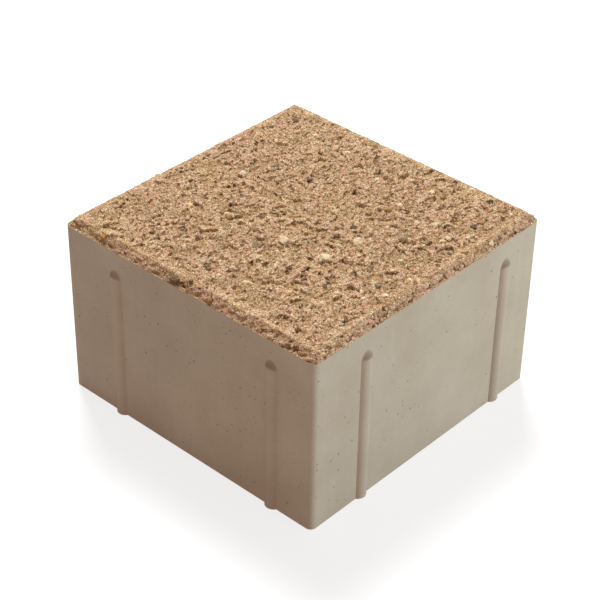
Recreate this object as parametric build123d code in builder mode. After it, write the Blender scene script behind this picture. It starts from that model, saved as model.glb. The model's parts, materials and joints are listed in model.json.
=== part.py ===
"""Square concrete paver with a bevelled facing and run-out spacer ribs on its walls.

Millimetres, +Z up. The bed face lies on Z = 0 and the origin is the middle of it.
"""

import math
import os

from build123d import *

# Block: bare stone without its ribs
side = 97.5
thickness = 60.0
corner_radius = 2.0
wall_count = 4

# Bevel around the level facing
bevel_width = 2.5
bevel_drop = 2.5
facing_corner_radius = 0.6

# Spacer ribs: a pair of round bars sunk into each wall
rib_width = 4.5
rib_projection = 1.25
rib_pitch = 61.0
rib_clearance = 1.0
rib_runout = 2.2
rib_margin = 6.1

# Each rib stands beside the rib of the next paver, so every pair is shifted
# to the right by half a rib and half the clearance between the two.
rib_shift = (rib_width + rib_clearance) / 2
rib_places = (rib_shift - rib_pitch / 2, rib_shift + rib_pitch / 2)

# Round bar whose chord on the wall is the rib's width
bar_radius = (rib_width**2 / 4 + rib_projection**2) / (2 * rib_projection)
bar_axis_y = bar_radius - rib_projection - side / 2

# Near its top the bar bends inward until its crest has run out into the wall,
# which leaves a bare margin below the bevel.
rib_top = thickness - bevel_drop - rib_margin
bend = math.atan2(rib_projection, rib_runout)
knee = rib_top - rib_runout - bar_radius * math.tan(bend / 2)
buried_length = 2 * bar_radius / math.sin(bend)

os.makedirs("parts", exist_ok=True)

# The two ribs of one wall: straight up from the bed, mitred at the knee
with BuildPart() as rib_pair:
    for place in rib_places:
        with BuildLine() as bar_axis:
            upright = Line((place, bar_axis_y, 0), (place, bar_axis_y, knee))
            PolarLine(
                upright @ 1,
                buried_length,
                direction=Vector(0, math.sin(bend), math.cos(bend)),
            )
        with BuildSketch():
            with Locations((place, bar_axis_y)):
                Circle(bar_radius)
        sweep(path=bar_axis.wires()[0], transition=Transition.RIGHT)

with BuildPart() as paver:
    # Upright walls as far as the bevel
    with BuildSketch():
        RectangleRounded(side, side, corner_radius)
    extrude(amount=thickness - bevel_drop)

    # Bevel up to the facing
    with BuildSketch(Plane.XY.offset(thickness - bevel_drop)):
        RectangleRounded(side, side, corner_radius)
    with BuildSketch(Plane.XY.offset(thickness)):
        RectangleRounded(side - 2 * bevel_width, side - 2 * bevel_width, facing_corner_radius)
    loft(ruled=True)

    # The same pair on every wall, turned with it and cast in one with the block
    with PolarLocations(0, wall_count):
        add(rib_pair.part)

paver.part.label = "paver"
export_step(paver.part, "parts/paver.step")
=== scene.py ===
import json
import math
import random

import bmesh
import bpy
from mathutils import Euler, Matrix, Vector, noise

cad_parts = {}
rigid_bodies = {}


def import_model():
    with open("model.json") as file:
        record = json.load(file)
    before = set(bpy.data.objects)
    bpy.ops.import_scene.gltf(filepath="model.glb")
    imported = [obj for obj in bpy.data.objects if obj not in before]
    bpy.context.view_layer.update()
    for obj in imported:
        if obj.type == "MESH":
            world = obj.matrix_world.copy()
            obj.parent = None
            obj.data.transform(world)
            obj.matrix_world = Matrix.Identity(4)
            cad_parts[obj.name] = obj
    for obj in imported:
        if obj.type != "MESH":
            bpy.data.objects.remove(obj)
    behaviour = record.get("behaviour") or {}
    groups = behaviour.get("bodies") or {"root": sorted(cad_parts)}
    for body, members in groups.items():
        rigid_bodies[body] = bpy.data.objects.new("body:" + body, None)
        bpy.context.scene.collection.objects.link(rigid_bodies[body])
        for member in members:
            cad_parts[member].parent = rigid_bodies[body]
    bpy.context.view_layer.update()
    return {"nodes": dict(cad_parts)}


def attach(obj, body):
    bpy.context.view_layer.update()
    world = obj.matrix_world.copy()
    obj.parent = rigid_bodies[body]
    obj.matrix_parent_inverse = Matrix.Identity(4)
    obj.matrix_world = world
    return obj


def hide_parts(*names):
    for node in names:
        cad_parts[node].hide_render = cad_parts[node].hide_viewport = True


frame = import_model()
mm = 0.001   # one millimetre in Blender's metres
print("frame loaded:", ", ".join(frame["nodes"]))


class Wire:
    # a socket that can be used in sums; add() puts any other node into the same tree

    def __init__(self, tree, socket=None):
        self.tree = tree
        self.socket = socket

    def add(self, kind, settings=None, sockets=None, out=0):
        node = self.tree.nodes.new(kind)
        for name, value in (settings or {}).items():
            if name == "stops":
                fillRamp(node.color_ramp, value)
            else:
                setattr(node, name, value)
        for name, value in (sockets or {}).items():
            if isinstance(value, Wire):
                self.tree.links.new(value.socket, node.inputs[name])
            else:
                node.inputs[name].default_value = value
        return Wire(self.tree, node.outputs[out] if node.outputs else None)

    def out(self, name):
        # another output of the same node
        return Wire(self.tree, self.socket.node.outputs[name])

    def sums(self, operation, first, second):
        return self.add("ShaderNodeMath", {"operation": operation}, {0: first, 1: second})

    def __add__(self, other):
        return self.sums("ADD", self, other)

    def __radd__(self, other):
        return self.sums("ADD", other, self)

    def __sub__(self, other):
        return self.sums("SUBTRACT", self, other)

    def __rsub__(self, other):
        return self.sums("SUBTRACT", other, self)

    def __mul__(self, other):
        return self.sums("MULTIPLY", self, other)

    def __rmul__(self, other):
        return self.sums("MULTIPLY", other, self)

    def __truediv__(self, other):
        return self.sums("DIVIDE", self, other)

    def __rtruediv__(self, other):
        return self.sums("DIVIDE", other, self)

    def __pow__(self, other):
        return self.sums("POWER", self, other)

    def __rpow__(self, other):
        return self.sums("POWER", other, self)

    def __gt__(self, other):
        return self.sums("GREATER_THAN", self, other)

    def __lt__(self, other):
        # Python also asks for this one in number > wire
        return self.sums("LESS_THAN", self, other)

    def ease(self, low, high):
        # 0 below low, 1 above high, smooth between
        return self.add("ShaderNodeMapRange", {"interpolation_type": "SMOOTHSTEP"},
                        {"Value": self, "From Min": low, "From Max": high})

    def blend(self, under, over, kind="MIX"):
        # colour mix, this wire is the factor; the node's colours are its inputs 6 and 7 and output 2
        return self.add("ShaderNodeMix", {"data_type": "RGBA", "blend_type": kind},
                        {0: self, 6: under, 7: over}, 2)

    def ramp(self, stops):
        # colours along this wire, from 0 to 1
        return self.add("ShaderNodeValToRGB", {"stops": [(p, tone(c)) for p, c in stops]}, {0: self})

    def moved(self, operation, other):
        # vector maths on places and directions
        return self.add("ShaderNodeVectorMath", {"operation": operation}, {0: self, 1: other})

    def stretched(self, factor):
        return self.add("ShaderNodeVectorMath", {"operation": "SCALE"}, {0: self, "Scale": factor})

    def clouds(self, scale, detail, rough=0.5, flat=False, out=0):
        # noise around 0.5 at the places that this wire gives
        return self.add("ShaderNodeTexNoise", {"noise_dimensions": "2D" if flat else "3D"}, {
            "Vector": self, "Scale": scale, "Detail": detail, "Roughness": rough}, out)

    def attribute(self, name, kind="FLOAT"):
        # what the mesh carries under this name, in a material or in a geometry tree
        if self.tree.type == "SHADER":
            out = "Fac" if kind == "FLOAT" else "Vector"
            return self.add("ShaderNodeAttribute", {"attribute_name": name}, out=out)
        return self.add("GeometryNodeInputNamedAttribute", {"data_type": kind}, {"Name": name})

    def keep(self, name, value):
        # writes an attribute on this geometry's points
        return self.add("GeometryNodeStoreNamedAttribute", {"data_type": "FLOAT", "domain": "POINT"},
                        {"Geometry": self, "Name": name, "Value": value})


def tone(hexCode):
    # screen colour to linear
    parts = [int(hexCode[k:k + 2], 16) / 255 for k in (0, 2, 4)]
    return tuple(p / 12.92 if p <= 0.04045 else ((p + 0.055) / 1.055) ** 2.4 for p in parts) + (1.0,)


def fillRamp(ramp, stops):
    while len(ramp.elements) > 1:
        ramp.elements.remove(ramp.elements[-1])
    for k, (place, colour) in enumerate(stops):
        element = ramp.elements[0] if k == 0 else ramp.elements.new(place)
        element.position = place
        element.color = colour


# torn mortar plates of the facing, used by its relief and by its colours

reliefShape = {
    "Slab size": 3.2 * mm, "Slab depth": 0.21 * mm, "Plate size": 1.5 * mm, "Plate depth": 0.29 * mm,
    "Crumb size": 0.8 * mm, "Crumb depth": 0.28 * mm, "Ragged": 0.5, "Tilt": 0.45, "Gone": 0.024,
    "Crack cut": 0.45, "Hole cut": 0.8,   # shares of a plate's depth
    "Grit size": 0.36 * mm, "Grit depth": 0.18 * mm, "Grit detail": 1.0,
    "Swell size": 12.0 * mm, "Swell depth": 0.4 * mm, "Swell detail": 2.0, "Roughness": 0.6,
    "Sunk": 0.39 * mm,
}
plateShape = {
    "bends": 1.6, "detail": 3.0, "rough": 0.6,   # wandering outlines, bends in the length of a plate
    "crack": 0.12,            # width of a crack, in plates
    "holeEdge": 0.6,          # a hole is full below this share of Gone
    "shift": (3.7, 1.4, 0),   # another place in the pattern gives other plates
}


def platePattern(start, place, size, ragged, gone):
    # broken plates with ragged outlines, seen from above
    shape = plateShape
    wander = place.clouds(shape["bends"] / size, shape["detail"], shape["rough"], True, "Color")
    bent = place.moved("ADD", wander.moved("SUBTRACT", (0.5, 0.5, 0.5)).stretched(size * ragged))
    bent = bent.moved("MULTIPLY", (1, 1, 0))
    spots = {"Vector": bent, "Scale": 1 / size}
    cells = start.add("ShaderNodeTexVoronoi", {"voronoi_dimensions": "2D"}, spots)
    toEdge = {"voronoi_dimensions": "2D", "feature": "DISTANCE_TO_EDGE"}
    edge = start.add("ShaderNodeTexVoronoi", toEdge, spots)
    pick = start.add("ShaderNodeSeparateXYZ", {}, {"Vector": cells.out("Color")})
    away = bent.moved("SUBTRACT", cells.out("Position"))
    crack = 1 - edge.ease(0.0, shape["crack"])
    hole = 1 - pick.ease(gone * shape["holeEdge"], gone)
    return pick, crack, hole, away


# materials; a look's noises are repeats in a metre, detail and roughness,
# a Range is where a layer begins and where it is full, a Share is how much of it shows

def newMaterial(name):
    material = bpy.data.materials.new(name)
    material.use_nodes = True
    material.node_tree.nodes.clear()
    return material, Wire(material.node_tree)


def finishMaterial(start, look, colour, smoother, height):
    bump = start.add("ShaderNodeBump", {}, {
        "Strength": look["bump"], "Distance": look["bumpDepth"] * mm, "Height": height})
    surface = start.add("ShaderNodeBsdfPrincipled", {}, {
        "Base Color": colour, "Roughness": look["roughness"] - smoother * look["polish"],
        "Normal": bump, "Specular IOR Level": look["specular"]})
    start.add("ShaderNodeOutputMaterial", {}, {"Surface": surface})


wallLook = {
    "light": "bfb6a3", "dark": "b1a793", "pinhole": "66513f", "ribEndShade": "866a59", "ribTone": "b9a190",
    "mottle": (55, 5.0, 0.6), "sand": (2600, 2.0),
    "drawn": (420, 420, 14), "line": (1.0, 2.0),   # the mould's lines are noise drawn out in height
    "mottleShare": 1.2, "lineShare": 0.2, "sandShare": 0.7, "shadeRange": (0.645, 1.445),
    "pinholeCell": 1.8, "pinholeFree": 0.76,   # millimetres, and the share of cells without a pinhole
    "pinholeWidth": (0.09, 0.14), "pinholeDark": (0.3, 0.65),   # the least, and what chance adds
    "pinholeRange": (0.35, 1.0), "ribRange": (0.0, 0.6), "ribShare": 0.12, "ribEndShadeShare": 0.8,
    "sandHeight": 0.25, "mottleHeight": 0.3, "pinholeHeight": 1.2,
    "bump": 0.35, "bumpDepth": 0.2, "roughness": 0.96, "polish": 0.1, "specular": 0.25,
}


def makeWallConcrete(look):
    material, start = newMaterial("wallConcrete")
    place = start.add("ShaderNodeTexCoord", out="Object")
    mottle = place.clouds(*look["mottle"])
    line = place.moved("MULTIPLY", look["drawn"]).clouds(*look["line"])   # from lifting the mould
    sand = place.clouds(*look["sand"])
    shade = mottle * look["mottleShare"] + line * look["lineShare"] + sand * look["sandShare"]
    shade = shade.ease(*look["shadeRange"])
    colour = shade.blend(tone(look["dark"]), tone(look["light"]))

    # pinholes are dents in the bump, darkened with painted shade in the holes
    scale = 1 / (look["pinholeCell"] * mm)
    cells = start.add("ShaderNodeTexVoronoi", {}, {"Vector": place, "Scale": scale})
    chance = start.add("ShaderNodeSeparateXYZ", {}, {"Vector": cells.out("Color")})
    leastWidth, moreWidth = look["pinholeWidth"]
    width = chance.out("Y") ** 2 * moreWidth + leastWidth
    pinhole = (1 - (cells / width).ease(*look["pinholeRange"])) * (chance > look["pinholeFree"])
    leastDark, moreDark = look["pinholeDark"]
    dark = pinhole * (leastDark + chance.out("Z") * moreDark)

    rib = start.attribute("rib").ease(*look["ribRange"])
    colour = (rib * look["ribShare"]).blend(colour, tone(look["ribTone"]))
    # painted shade: the rib's sloping upper end is darkened
    colour = (start.attribute("ribEnd") * look["ribEndShadeShare"]).blend(colour, tone(look["ribEndShade"]))
    colour = dark.blend(colour, tone(look["pinhole"]))

    height = sand * look["sandHeight"] + mottle * look["mottleHeight"] - pinhole * look["pinholeHeight"]
    finishMaterial(start, look, colour, shade, height)
    return material


facingLook = {
    "mortar": [(0.0, "cf9e7d"), (0.35, "deaf8e"), (0.7, "e6ba97"), (1.0, "edcca5")],
    "sand": [(0.00, "5b5243"), (0.05, "857650"), (0.07, "c39b76"), (0.74, "dcb692"), (0.84, "ecd2a4"),
             (0.96, "fbf0cc")],
    "yellow": "f0cc8a", "pink": "c6947a", "low": "a8834c", "pitShade": "6a4412", "glintTone": "fffdd6",
    "crackShadeAndDirt": "5a3206", "bevelTone": "f6fbff",
    "patch": (1 / (2.2 * mm), 4.0, 0.65), "patchRange": (0.3, 0.7),
    "drift": (95, 4.0), "yellowRange": (0.5, 0.7), "yellowShare": 0.3, "pinkRange": (0.3, 0.5),
    "pinkShare": 0.4,
    "blotch": (120, 6.0), "blotchSway": 1.2, "hollowShadeRange": (0.15, 0.75), "hollowShadeShare": 0.6,
    "sandCell": 0.8, "sandBend": 0.9, "wander": (900, 2.0),   # cell and bend in millimetres
    "sandFree": 0.55, "sandRange": (0.25, 0.5), "sandShare": 0.85,   # free: share of cells without sand
    "speck": (2600, 2.0), "pitShadeRange": (0.56, 0.68), "pitShadeShare": 0.68,
    "glint": (2900, 1.0), "glintRange": (0.615, 0.665),
    "calmRange": (0.1, 0.5), "calmShare": 0.5, "bevelRange": (0.0, 0.3),
    "cracks": [("Slab", 0.15), ("Plate", 0.6), ("Crumb", 0.75)],
    "breaks": 1.3, "breakDetail": 2.0, "crackSway": 0.3, "crackRange": (0.48, 0.66),
    "sandHeight": 0.6,
    "bump": 0.8, "bumpDepth": 0.25, "roughness": 0.95, "polish": 0.1, "specular": 0.25,
}


def makeWashedFacing(look):
    material, start = newMaterial("washedFacing")
    place = start.add("ShaderNodeTexCoord", out="Object")
    colour = place.clouds(*look["patch"]).ease(*look["patchRange"]).ramp(look["mortar"])

    # the mortar drifts slowly between a yellower and a pinker mix
    drift = place.clouds(*look["drift"])
    colour = (drift.ease(*look["yellowRange"]) * look["yellowShare"]).blend(colour, tone(look["yellow"]))
    colour = ((1 - drift.ease(*look["pinkRange"])) * look["pinkShare"]).blend(colour, tone(look["pink"]))

    # painted shade in the hollows: a darker, yellower tone low in the relief, partly the yellower mortar
    # where it is torn; pink skin on the tops
    blotch = (place.clouds(*look["blotch"]) - 0.5) * look["blotchSway"]
    low = 1 - (start.attribute("relief") + blotch).ease(*look["hollowShadeRange"])
    colour = (low * look["hollowShadeShare"]).blend(colour, tone(look["low"]))

    # bare sand
    wander = place.clouds(*look["wander"], out="Color")
    bent = place.moved("ADD", wander.stretched(look["sandBend"] * mm))
    scale = 1 / (look["sandCell"] * mm)
    cells = start.add("ShaderNodeTexVoronoi", {}, {"Vector": bent, "Scale": scale})
    pick = start.add("ShaderNodeSeparateXYZ", {}, {"Vector": cells.out("Color")})
    bare = (pick.out("Y") > look["sandFree"]) * (1 - cells.ease(*look["sandRange"]))
    colour = (bare * look["sandShare"]).blend(colour, pick.ramp(look["sand"]))

    # painted shade in dark pits and painted highlights (glints) on bright specks, which are partly pale
    # sand too; both weaker on the bevel, which is smoother
    bevel = start.attribute("bevel")
    rough = 1 - bevel.ease(*look["calmRange"]) * look["calmShare"]
    speck = place.clouds(*look["speck"])
    glint = place.clouds(*look["glint"])
    colour = (speck.ease(*look["pitShadeRange"]) * rough * look["pitShadeShare"]).blend(colour, tone(look["pitShade"]))
    colour = (glint.ease(*look["glintRange"]) * rough).blend(colour, tone(look["glintTone"]))

    # painted shade, with some dirt, darkens the cracks along the edges of the plates and the holes where
    # a plate is gone
    flat = start.attribute("spread", "FLOAT_VECTOR").moved("ADD", plateShape["shift"])
    for kind, share in look["cracks"]:
        size = reliefShape[kind + " size"]
        plates = platePattern(start, flat, size, reliefShape["Ragged"], reliefShape["Gone"])
        pick, crack, hole = plates[:3]
        broken = place.clouds(look["breaks"] / size, look["breakDetail"])
        crack = crack * (broken + pick.out("Y") * look["crackSway"]).ease(*look["crackRange"])
        colour = ((crack + hole) * share).blend(colour, tone(look["crackShadeAndDirt"]))
    colour = bevel.ease(*look["bevelRange"]).blend(colour, tone(look["bevelTone"]), "MULTIPLY")

    finishMaterial(start, look, colour, speck, bare * look["sandHeight"] - speck)
    return material


grainLook = {
    "stones": [
        (0.00, "3f382d"), (0.02, "65543b"), (0.035, "8d7f5f"), (0.06, "a8815f"), (0.12, "bd9570"),
        (0.35, "d0a884"), (0.60, "d9b48e"), (0.80, "e2c19a"), (0.83, "a98342"), (0.86, "c4835b"),
        (0.88, "f2dba0"), (0.95, "ebd2ac"), (1.00, "fae5c2")],
    "dirt": "a17a58", "mortar": "cda480",
    "speck": (3600, 2.0), "dirtRange": (0.35, 0.7), "dirtShare": 0.25,
    "stain": (900, 3.0), "mortarRange": (0.45, 0.65), "mortarShare": 0.55,
    "cleanShare": 0.35,   # how much less mortar clings to a clean stone
    "bump": 0.7, "bumpDepth": 0.2, "roughness": 0.92, "polish": 0.12, "specular": 0.25,
}


def makeFacingGrain(look):
    material, start = newMaterial("facingGrain")
    place = start.add("ShaderNodeTexCoord", out="Object")
    colour = start.attribute("tone").ramp(look["stones"])
    speck = place.clouds(*look["speck"])
    stain = place.clouds(*look["stain"])
    colour = (speck.ease(*look["dirtRange"]) * look["dirtShare"]).blend(colour, tone(look["dirt"]))
    clinging = look["mortarShare"] - start.attribute("clean") * look["cleanShare"]
    colour = (stain.ease(*look["mortarRange"]) * clinging).blend(colour, tone(look["mortar"]))
    finishMaterial(start, look, colour, speck, speck + stain)
    return material


wallConcrete = makeWallConcrete(wallLook)
washedFacing = makeWashedFacing(facingLook)
facingGrain = makeFacingGrain(grainLook)
print("materials made")


# geometry node helpers

socketKinds = {int: "NodeSocketInt", float: "NodeSocketFloat", tuple: "NodeSocketVector"}


def newTree(name, shape):
    # each entry of the shape becomes a named input
    tree = bpy.data.node_groups.new(name, "GeometryNodeTree")
    tree.interface.new_socket("Geometry", in_out="INPUT", socket_type="NodeSocketGeometry")
    tree.interface.new_socket("Geometry", in_out="OUTPUT", socket_type="NodeSocketGeometry")
    for label, value in shape.items():
        tree.interface.new_socket(label, in_out="INPUT", socket_type=socketKinds[type(value)])
    return tree, Wire(tree).add("NodeGroupInput")


def bakeTree(piece, tree, values):
    # run the tree on the piece and keep the result as a plain mesh
    modifier = piece.modifiers.new(tree.name, "NODES")
    modifier.node_group = tree
    for item in tree.interface.items_tree:
        if item.in_out == "INPUT" and item.name in values:
            modifier[item.identifier] = values[item.name]
    graph = bpy.context.evaluated_depsgraph_get()
    mesh = bpy.data.meshes.new_from_object(piece.evaluated_get(graph), depsgraph=graph)
    piece.modifiers.clear()
    piece.data = mesh
    mesh.name = piece.name


def addObject(name, data):
    made = bpy.data.objects.new(name, data)
    bpy.context.scene.collection.objects.link(made)
    return made


# the cast body, in millimetres

bodyShape = {
    "side": 97.5, "height": 60.0, "cornerRadius": 2.0,
    "bevelWidth": 2.5, "bevelDrop": 2.5, "facingRadius": 0.6,
    "ribWidth": 4.5, "ribProjection": 1.25, "ribPlaces": (-27.75, 33.25),
    "ribTop": 51.4, "ribRunout": 2.2,
    "endLead": 0.2, "endSoft": 0.5, "endFaint": 0.45,   # the painted shade on a rib's sloping end
    "facingCells": 274, "bevelRings": 10, "wallSkip": 9,   # between ribs a wall keeps each ninth column
    "rimStep": 0.4, "upperLevels": [55.5, 53.5], "endStep": 0.2, "endSteps": 20,
    "lowerLevels": [45.0, 38.0, 30.0, 22.0, 14.0, 7.0, 2.5, 0.6, 0.0],
    "bevelLoose": 0.9, "edgeCalm": 0.65, "rimRings": 2,   # how freely the relief moves on the bevel
    "facingLoose": 0.75, "facingRings": 10,               # and what the facing adds, ring by ring
    "unroll": 2.5, "sharpAngle": 32,
}


def netCount(shape):
    return shape["facingCells"] + 2 * shape["bevelRings"]


def roundedPoint(x, y, half, radius):
    # pulls a point of a square's corner onto its rounding
    core = half - radius
    dx, dy = abs(x) - core, abs(y) - core
    if dx <= 0 or dy <= 0:
        return x, y
    pull = radius / math.hypot(dx, dy)
    return math.copysign(core + dx * pull, x), math.copysign(core + dy * pull, y)


def toFoot(s, shape):
    # the column next to a rib's foot is moved onto it
    reach = shape["side"] / netCount(shape) / 2
    for place in shape["ribPlaces"]:
        for foot in (place - shape["ribWidth"] / 2, place + shape["ribWidth"] / 2):
            if abs(s - foot) <= reach:
                return foot
    return s


def ribOffset(s, z, shape):
    # how far a rib stands out of the wall: an upright bar that bends into the wall at its top
    radius = (shape["ribWidth"] ** 2 / 4 + shape["ribProjection"] ** 2) / (2 * shape["ribProjection"])
    depth = radius - shape["ribProjection"]
    bend = math.atan2(shape["ribProjection"], shape["ribRunout"])
    knee = shape["ribTop"] - shape["ribRunout"] - radius * math.tan(bend / 2)
    best, ending = 0.0, 0.0
    for place in shape["ribPlaces"]:
        if abs(s - place) >= shape["ribWidth"] / 2:
            continue
        reach = math.sqrt(radius ** 2 - (s - place) ** 2)
        upright = reach - depth
        leaning = (reach - (z - knee) * math.sin(bend)) / math.cos(bend) - depth
        best = max(best, min(upright, leaning))
        past = (upright - leaning + shape["endLead"]) / shape["endSoft"]
        if leaning > 0 and past > 0:
            # the painted shade comes in softly at the bend and fades where the bar runs into the wall
            fade = shape["endFaint"] + (1 - shape["endFaint"]) * min(leaning / upright, 1.0)
            ending = min(past, 1.0) * fade
    return max(best, 0.0), ending


def netPoint(i, j, shape):
    # a point of the square net over the bevel and the facing, the way the relief lifts it, and its marks;
    # ring 0 is the wall's upper edge, and the rings shrink to the middle of the facing
    count, rings = netCount(shape), shape["bevelRings"]
    outer = shape["side"] / 2
    ring = min(i, j, count - i, count - j)
    cells = max(count - 2 * ring, 1)
    climb = min(ring / rings, 1.0)   # 0 at the wall, 1 on the facing
    share = 1.0 if ring <= rings else 1 - (ring - rings) / (shape["facingCells"] / 2)
    half = (outer - climb * shape["bevelWidth"]) * share
    radius = (shape["cornerRadius"] + climb * (shape["facingRadius"] - shape["cornerRadius"])) * share
    x = half * (2 * (i - ring) / cells - 1) if half else 0.0
    y = half * (2 * (j - ring) / cells - 1) if half else 0.0
    if ring == 0:
        turn = 1 if (j == 0 or i == count) else -1
        if j in (0, count) and i not in (0, count):
            x = toFoot(x * turn, shape) * turn
        elif i in (0, count) and j not in (0, count):
            y = toFoot(y * turn, shape) * turn
    x, y = roundedPoint(x, y, half, radius)
    z = shape["height"] - shape["bevelDrop"] + climb * shape["bevelDrop"]

    lift = Vector((0, 0, 1))
    slope = 1 / math.sqrt(2)   # the bevel leans at 45 degrees
    if ring < rings:
        out = Vector((x if abs(x) >= abs(y) else 0, y if abs(y) >= abs(x) else 0, 0)).normalized()
        lift = (out + Vector((0, 0, 1))) * slope
    # the relief is low at both edges of the bevel, so that its outline stays straight
    onBevel = (shape["bevelLoose"] - shape["edgeCalm"] * climb ** 2) * min(ring / shape["rimRings"], 1)
    onFacing = shape["facingLoose"] * min(max(ring - rings, 0) / shape["facingRings"], 1)
    return (x, y, z), tuple(lift), {"bevel": 1.0 - climb, "loose": onBevel + onFacing}


def wallAt(x, y, shape):
    # which way the wall faces at a point of the rim, and the place along it; a corner has neither
    straight = shape["side"] / 2 - shape["cornerRadius"]
    if abs(x) < straight:
        turn = 1 if y < 0 else -1
        return (0, -turn), x * turn
    if abs(y) < straight:
        turn = 1 if x > 0 else -1
        return (turn, 0), y * turn
    return (0, 0), None


def wallLevels(shape):
    # heights of the rows below the rim, close together at the ribs' ends
    fine = [shape["ribTop"] + shape["endStep"] - shape["endStep"] * k for k in range(shape["endSteps"])]
    top = shape["height"] - shape["bevelDrop"] - shape["rimStep"]
    return [top] + shape["upperLevels"] + fine + shape["lowerLevels"]


def addWalls(shape, rim, points, faces, addPoint):
    # columns stay close at the ribs and corners, and are thinned out between them
    near = shape["ribWidth"] / 2 + shape["side"] / netCount(shape)
    kept = []
    for k, corner in enumerate(rim):
        s = wallAt(points[corner][0] / mm, points[corner][1] / mm, shape)[1]
        if s is None or k % shape["wallSkip"] == 0 or any(abs(s - p) <= near for p in shape["ribPlaces"]):
            kept.append(k)

    above = [rim[k] for k in kept]
    for row, z in enumerate(wallLevels(shape)):
        below = []
        for k in kept:
            x, y = points[rim[k]][0] / mm, points[rim[k]][1] / mm
            out, s = wallAt(x, y, shape)
            push, ending = ribOffset(s, z, shape) if s is not None else (0.0, 0.0)
            marks = {"rib": push / shape["ribProjection"], "ribEnd": ending}
            below.append(addPoint((x + out[0] * push, y + out[1] * push, z), (0, 0, 0), marks))
        for n, k in enumerate(kept):
            m = (n + 1) % len(kept)
            upper = [above[m], above[n]]
            if row == 0:
                # the first row takes in the rim's points between two columns
                last = kept[m] if m else len(rim)
                upper = [rim[q % len(rim)] for q in range(last, k - 1, -1)]
            faces.append([below[n], below[m]] + upper)
        above = below

    middle = addPoint((0, 0, 0), (0, 0, 0), {})
    for n in range(len(kept)):
        faces.append((above[n], middle, above[(n + 1) % len(kept)]))


def buildBody(shape):
    count = netCount(shape)
    points, faces, lifts, spreads = [], [], [], []
    layers = {"bevel": [], "loose": [], "rib": [], "ribEnd": []}

    def addPoint(place, lift, marks):
        x, y, z = place
        points.append((x * mm, y * mm, z * mm))
        lifts.append(lift)
        # the bevel is laid flat beside the facing for the relief's pattern
        unrolled = 1 + marks.get("bevel", 0.0) * shape["unroll"] / (shape["side"] / 2)
        spreads.append((x * mm * unrolled, y * mm * unrolled, 0))
        for name, values in layers.items():
            values.append(marks.get(name, 0.0))
        return len(points) - 1

    net = [[addPoint(*netPoint(i, j, shape)) for j in range(count + 1)] for i in range(count + 1)]
    for i in range(count):
        for j in range(count):
            faces.append((net[i][j], net[i + 1][j], net[i + 1][j + 1], net[i][j + 1]))
    rim = [net[i][0] for i in range(count)] + [net[count][j] for j in range(count)]
    rim += [net[i][count] for i in range(count, 0, -1)] + [net[0][j] for j in range(count, 0, -1)]
    addWalls(shape, rim, points, faces, addPoint)

    mesh = bpy.data.meshes.new("paverBody")
    mesh.from_pydata(points, [], faces)
    mesh.materials.append(wallConcrete)
    for name, values in layers.items():
        mesh.attributes.new(name, "FLOAT", "POINT").data.foreach_set("value", values)
    for name, values in (("lift", lifts), ("spread", spreads)):
        layer = mesh.attributes.new(name, "FLOAT_VECTOR", "POINT")
        layer.data.foreach_set("vector", [v for three in values for v in three])
    mesh.update()
    return addObject("paverBody", mesh)


def makeReliefTree(shape):
    tree, start = newTree("facingRelief", shape)
    place = start.attribute("spread", "FLOAT_VECTOR").moved("ADD", plateShape["shift"])

    # plates of three sizes, each at its own level and a little tilted, a few gone
    torn = 0.0
    ragged, gone = start.out("Ragged"), start.out("Gone")
    for kind in ("Slab", "Plate", "Crumb"):
        depth = start.out(kind + " depth")
        pick, crack, hole, away = platePattern(start, place, start.out(kind + " size"), ragged, gone)
        spin = start.add("ShaderNodeCombineXYZ", {}, {"X": pick.out("Y") - 0.5, "Y": pick.out("Z") - 0.5})
        lean = away.add("ShaderNodeVectorMath", {"operation": "DOT_PRODUCT"}, {0: away, 1: spin}, "Value")
        torn = torn + pick * depth + lean * start.out("Tilt") - crack * depth * start.out("Crack cut")
        torn = torn - hole * depth * start.out("Hole cut")

    height = torn
    for kind in ("Grit", "Swell"):
        scale = 1 / start.out(kind + " size")
        wave = place.clouds(scale, start.out(kind + " detail"), start.out("Roughness"), True)
        height = height + (wave - 0.5) * start.out(kind + " depth")

    loose = start.attribute("loose")
    lift = start.attribute("lift", "FLOAT_VECTOR")
    depths = start.out("Slab depth") + start.out("Plate depth") + start.out("Crumb depth")
    kept = start.keep("relief", torn / depths)
    offset = lift.stretched((height - start.out("Sunk")) * loose)
    moved = start.add("GeometryNodeSetPosition", {}, {"Geometry": kept, "Offset": offset})
    real = start.add("GeometryNodeRealizeInstances", {}, {"Geometry": moved})
    painted = start.add("GeometryNodeSetMaterial", {}, {
        "Geometry": real, "Selection": loose > 0, "Material": washedFacing})
    start.add("NodeGroupOutput", {}, {"Geometry": painted})
    return tree


body = buildBody(bodyShape)
bakeTree(body, makeReliefTree(reliefShape), reliefShape)
body.data.polygons.foreach_set("use_smooth", [face.material_index == 0 for face in body.data.polygons])
body.data.set_sharp_from_angle(angle=math.radians(bodyShape["sharpAngle"]))
print("body:", len(body.data.polygons), "faces")


# grains and chips scattered over the facing, where the relief is looser than Clear and
# further up the bevel than Margin; Rarity makes the large ones few, and Dent is how deep they are creased

grainShape = {
    "Spacing": 0.9 * mm, "Density": 700000.0, "Clear": 0.4, "Margin": 0.3,
    "Smallest": 0.17 * mm, "Largest": 0.55 * mm, "Rarity": 2.2, "Sunk": 0.25,
    "Slimmest": (0.65, 0.55, 0.45), "Fullest": (1.15, 0.95, 0.8),
    "Crumple": 1.6, "Dent": 1.3, "Subdivisions": 1, "Seed": 11,
}
chipShape = {
    "Spacing": 3.0 * mm, "Density": 60000.0, "Clear": 0.7, "Margin": 0.7,
    "Smallest": 0.55 * mm, "Largest": 1.5 * mm, "Rarity": 2.2, "Sunk": 0.45,
    "Slimmest": (0.65, 0.55, 0.45), "Fullest": (1.15, 0.95, 0.8),
    "Crumple": 0.8, "Dent": 1.3, "Subdivisions": 2, "Seed": 29,
}


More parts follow.
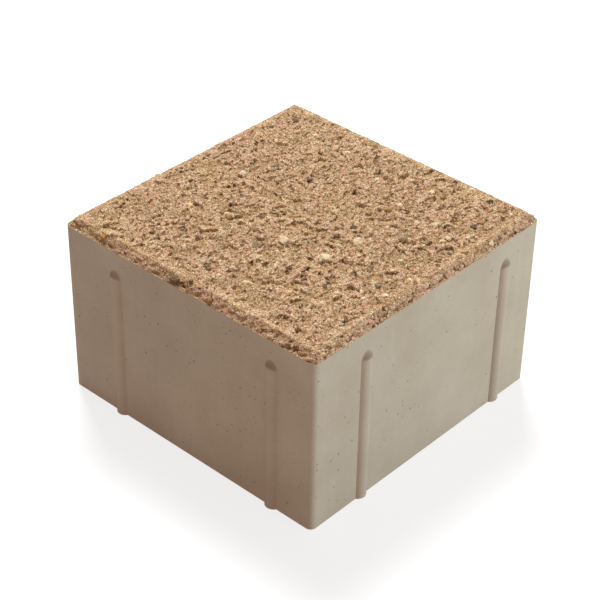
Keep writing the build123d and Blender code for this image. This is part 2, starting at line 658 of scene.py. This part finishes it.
def makeScatterTree(shape):
    tree, start = newTree("facingScatter", shape)
    seed = start.out("Seed")
    bevel = start.attribute("bevel")
    loose = start.attribute("loose")
    spread = start.add("GeometryNodeDistributePointsOnFaces", {"distribute_method": "POISSON"}, {
        "Mesh": start, "Seed": seed, "Density Factor": loose,
        "Selection": (loose > start.out("Clear")) * ((1 - bevel) > start.out("Margin")),
        "Distance Min": start.out("Spacing"), "Density Max": start.out("Density")})

    def chance(step):
        return start.add("FunctionNodeRandomValue", {"data_type": "FLOAT"}, {"Seed": seed + step}, 1)

    def chances(least, most, step):
        return start.add("FunctionNodeRandomValue", {"data_type": "FLOAT_VECTOR"}, {
            "Min": least, "Max": most, "Seed": seed + step})

    growth = start.out("Largest") - start.out("Smallest")
    girth = start.out("Smallest") + chance(1) ** start.out("Rarity") * growth
    kept = spread.keep("girth", girth).keep("tone", chance(2))
    sunk = start.add("GeometryNodeSetPosition", {}, {
        "Geometry": kept, "Offset": spread.out("Normal").stretched(start.out("Sunk") * girth * -1)})

    stone = start.add("GeometryNodeMeshIcoSphere", {}, {
        "Radius": 1.0, "Subdivisions": start.out("Subdivisions")})
    angles = chances((0, 0, 0), (math.tau, math.tau, math.tau), 3)
    turn = start.add("FunctionNodeEulerToRotation", {}, {"Euler": angles})
    squash = chances(start.out("Slimmest"), start.out("Fullest"), 4)
    placed = start.add("GeometryNodeInstanceOnPoints", {}, {
        "Points": sunk, "Instance": stone, "Rotation": turn, "Scale": squash.stretched(girth)})
    real = start.add("GeometryNodeRealizeInstances", {}, {"Geometry": placed})

    # creases follow each stone's own size, so they come after the stones are real
    ownGirth = start.attribute("girth")
    place = start.add("GeometryNodeInputPosition")
    crease = place.clouds(start.out("Crumple") / ownGirth, 1.0, out="Color")
    crease = crease.moved("SUBTRACT", (0.5, 0.5, 0.5))
    crumpled = start.add("GeometryNodeSetPosition", {}, {
        "Geometry": real, "Offset": crease.stretched(ownGirth * start.out("Dent"))})
    painted = start.add("GeometryNodeSetMaterial", {}, {"Geometry": crumpled, "Material": facingGrain})
    start.add("NodeGroupOutput", {}, {"Geometry": painted})
    return tree


scatterTree = makeScatterTree(grainShape)


def scatter(name, shape):
    piece = addObject(name, body.data.copy())
    bakeTree(piece, scatterTree, shape)
    piece.data.polygons.foreach_set("use_smooth", [False] * len(piece.data.polygons))
    print(name + ":", len(piece.data.polygons), "faces")
    return piece


grains = scatter("facingGrains", grainShape)
chips = scatter("facingChips", chipShape)


# larger stones, listed one by one: x, y and width in millimetres

stonePlaces = {
    "black": [(15.5, 12, 1.6), (43.5, -34.5, 1.6), (44.5, -20.5, 1.4), (45, -11, 1.3), (10, -36.5, 1.6)],
    "dark": [(5, -15, 2.1), (-24.5, -22.5, 1.7), (-22.5, -28.5, 1.9), (29, -39.5, 1.8), (13.5, -43, 1.6),
             (-8.5, -32.5, 1.9), (38.5, 39, 2.4), (-46, -0.5, 1.3), (-47.5, 4.5, 2.7)],
    "olive": [(-21, -1, 2.9), (6.5, -5.5, 1.4), (14.5, 25, 2.0), (10, -29.5, 2.0), (-12.5, -39, 1.6)],
    "mustard": [(18.5, -16.5, 2.0), (-41.5, -13.5, 1.4), (-47, 34, 1.6), (-47.5, -9, 1.6),
                (35, -15.5, 1.2)],
    "orange": [(21.5, -46, 1.5), (-22.5, -42.5, 1.1), (-17, -46, 1.1), (15, 14.5, 1.3), (41.5, 22, 1.2),
               (24.5, 44.5, 1.2)],
    "pale": [(-36.5, -12.5, 2.7), (-19.5, 27.5, 2.4), (40, 3, 1.8), (35, -19, 1.9), (-4.5, -43.5, 1.7),
             (36, 28, 1.6)],
    "cream": [(-14, -5, 2.8), (-12.5, -19.5, 3.7), (0.5, -20.5, 2.7), (-5.5, -18.5, 1.6),
              (-14.5, 17, 1.6), (-45, -11.5, 1.7), (40, -32.5, 1.3), (19, -38, 1.7), (-37.5, 36, 1.6),
              (-33.5, 25.5, 1.6), (-38, -44.5, 1.4), (-22.5, -33, 1.6), (-34.5, -33.5, 1.3),
              (25.5, 35, 1.3), (20, -26, 1.6), (22.5, -31, 1.9), (40.5, -6.5, 1.5), (1, -35.5, 1.6),
              (16.5, -38, 1.8), (-39, -4, 1.6), (27, -47.5, 1.3)],
    "white": [(23.5, -16.5, 1.6), (29.5, -2.5, 1.4), (45, -26.5, 1.7), (42, -43, 1.3), (-35.5, 13, 1.0),
              (-17.5, -37.5, 1.3), (-14.5, -43.5, 1.3), (-20, -40, 1.2), (-29.5, -33.5, 1.2),
              (35.5, 14.5, 1.8), (42, 11.5, 1.0), (12, -35, 1.0), (-34, 0.5, 1.0)],
}
stoneShape = {
    "tones": {"black": 0.0, "dark": 0.02, "olive": 0.035, "mustard": 0.83, "orange": 0.86, "pale": 0.88,
              "cream": 0.95, "white": 1.0},   # places on the grains' colour ramp
    "girth": 1.22, "slim": (0.7, 0.95), "flat": (0.5, 0.7), "sunk": -0.16, "seed": 5,
    "foot": 0.3, "seat": 5,   # of nine levels felt around its middle, the stone sits on the sixth
    "large": 2, "largeSubdivisions": 3, "subdivisions": 2,
    "lumpy": 0.42, "lumpScale": 1.1, "lumps": (1.0, 2.0, 3), "lumpSpread": 50, "sharpAngle": 35,
}
dropHeight = 100   # millimetres, well above the facing


def surfaceLevel(x, y):
    hit, spot = body.ray_cast((x * mm, y * mm, dropHeight * mm), (0, 0, -1))[:2]
    return spot.z if hit else 0.0


def buildStones(places, shape):
    dice = random.Random(shape["seed"])
    bpy.context.view_layer.update()
    work = bmesh.new()
    toneLayer = work.verts.layers.float.new("tone")
    cleanLayer = work.verts.layers.float.new("clean")
    for kind, spots in places.items():
        for x, y, width in spots:
            # middling level under the stone, so that none is buried in a hole
            around = [k * width * shape["foot"] for k in (-1, 0, 1)]
            levels = sorted(surfaceLevel(x + dx, y + dy) for dx in around for dy in around)
            spot = Vector((x * mm, y * mm, levels[shape["seat"]]))
            cuts = shape["largeSubdivisions"] if width > shape["large"] else shape["subdivisions"]
            made = bmesh.ops.create_icosphere(work, subdivisions=cuts, radius=1.0)["verts"]
            turn = Euler([dice.uniform(0, math.tau) for k in range(3)]).to_matrix()
            half = width * shape["girth"] * mm / 2
            breadth = half * dice.uniform(*shape["slim"])
            size = Vector((half, breadth, half * dice.uniform(*shape["flat"])))
            spin = Euler((0, 0, dice.uniform(0, math.tau))).to_matrix()
            odd = Vector([dice.uniform(-shape["lumpSpread"], shape["lumpSpread"]) for k in range(3)])
            for vert in made:
                wave = noise.fractal(vert.co * shape["lumpScale"] + odd, *shape["lumps"])
                lump = 1 + shape["lumpy"] * wave
                vert[toneLayer] = shape["tones"][kind]
                vert[cleanLayer] = 1.0
                vert.co = spin @ ((turn @ vert.co) * lump * size)
                vert.co += spot + Vector((0, 0, half * shape["sunk"]))
    mesh = bpy.data.meshes.new("facingStones")
    work.to_mesh(mesh)
    work.free()
    mesh.materials.append(facingGrain)
    mesh.polygons.foreach_set("use_smooth", [True] * len(mesh.polygons))
    mesh.set_sharp_from_angle(angle=math.radians(shape["sharpAngle"]))
    print("facingStones:", len(mesh.polygons), "faces")
    return addObject("facingStones", mesh)


stones = buildStones(stonePlaces, stoneShape)


# camera, light and floor, in metres

cameraSetup = {
    "place": (-0.3235, -0.2907, 0.3367), "aim": (-0.0006, 0.0003, 0.03),
    "lens": 106.9, "sensor": 36, "roll": 1.05, "nearest": 0.01,
}


def makeCamera(setup):
    data = bpy.data.cameras.new("camera")
    data.lens = setup["lens"]
    data.sensor_width = setup["sensor"]
    data.clip_start = setup["nearest"]
    camera = addObject("camera", data)
    look = Vector(setup["aim"]) - Vector(setup["place"])
    roll = Euler((0, 0, math.radians(setup["roll"]))).to_matrix()
    turn = look.to_track_quat("-Z", "Y").to_matrix() @ roll
    camera.location = setup["place"]
    camera.rotation_euler = turn.to_euler()
    bpy.context.scene.camera = camera


# the two strips stand low, so they only reach the walls
lampSetup = {
    "overhead": {"side": (0.345, 0.42, 0.84), "distance": 2.6, "size": (0.8, 0.8), "power": 75.5,
                 "colour": (1, 1, 1)},
    "rightStrip": {"side": (0.47, -0.88, 0.04), "distance": 0.7, "size": (0.36, 0.05), "power": 2.9,
                   "colour": (0.98, 1, 1.03)},
    "leftStrip": {"side": (-0.96, -0.26, 0.04), "distance": 0.7, "size": (0.5, 0.05), "power": 0.94,
                  "colour": (1, 0.46, 0.28)},
}
worldSetup = {"light": 0.3, "colour": (1, 1, 1, 1)}


def makeLamp(name, setup):
    data = bpy.data.lights.new(name, "AREA")
    data.shape = "RECTANGLE"
    data.size, data.size_y = setup["size"]
    data.energy = setup["power"]
    data.color = setup["colour"]
    lamp = addObject(name, data)
    side = Vector(setup["side"]).normalized()
    lamp.location = side * setup["distance"]
    lamp.rotation_euler = side.to_track_quat("Z", "Y").to_euler()
    lamp.visible_camera = False


def shownPlainly(start):
    # 1 where the camera, a mirror or glass looks, 0 for the light that falls on the object
    ray = start.add("ShaderNodeLightPath", out="Is Camera Ray")
    return (ray + ray.out("Is Glossy Ray") + ray.out("Is Transmission Ray")).ease(0.0, 1.0)


def makeWorld(setup):
    world = bpy.data.worlds.new("studio")
    bpy.context.scene.world = world
    world.use_nodes = True
    world.node_tree.nodes.clear()
    start = Wire(world.node_tree)
    strength = setup["light"] + shownPlainly(start) * (1 - setup["light"])   # white to the camera
    sky = start.add("ShaderNodeBackground", {}, {"Color": setup["colour"], "Strength": strength})
    start.add("ShaderNodeOutputWorld", {}, {"Surface": sky})


floorSetup = {"half": 3.0, "colour": (0.36, 0.355, 0.35, 1), "glow": 0.75, "glowColour": (1, 1, 1, 1)}


def makeFloor(setup):
    half = setup["half"]
    corners = [(-half, -half, 0), (half, -half, 0), (half, half, 0), (-half, half, 0)]
    mesh = bpy.data.meshes.new("floor")
    mesh.from_pydata(corners, [], [(0, 1, 2, 3)])
    floor = addObject("floor", mesh)
    material, start = newMaterial("paleFloor")
    strength = shownPlainly(start) * setup["glow"]
    matt = start.add("ShaderNodeBsdfDiffuse", {}, {"Color": setup["colour"]})
    glow = start.add("ShaderNodeEmission", {}, {"Color": setup["glowColour"], "Strength": strength})
    both = start.add("ShaderNodeAddShader", {}, {0: matt, 1: glow})
    start.add("ShaderNodeOutputMaterial", {}, {"Surface": both})
    mesh.materials.append(material)


makeCamera(cameraSetup)
for name, setup in lampSetup.items():
    makeLamp(name, setup)
makeWorld(worldSetup)
makeFloor(floorSetup)
bpy.context.scene.view_settings.view_transform = "Standard"
print("camera, light and floor set")

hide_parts("paver")
for piece in (body, grains, chips, stones):
    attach(piece, "root")
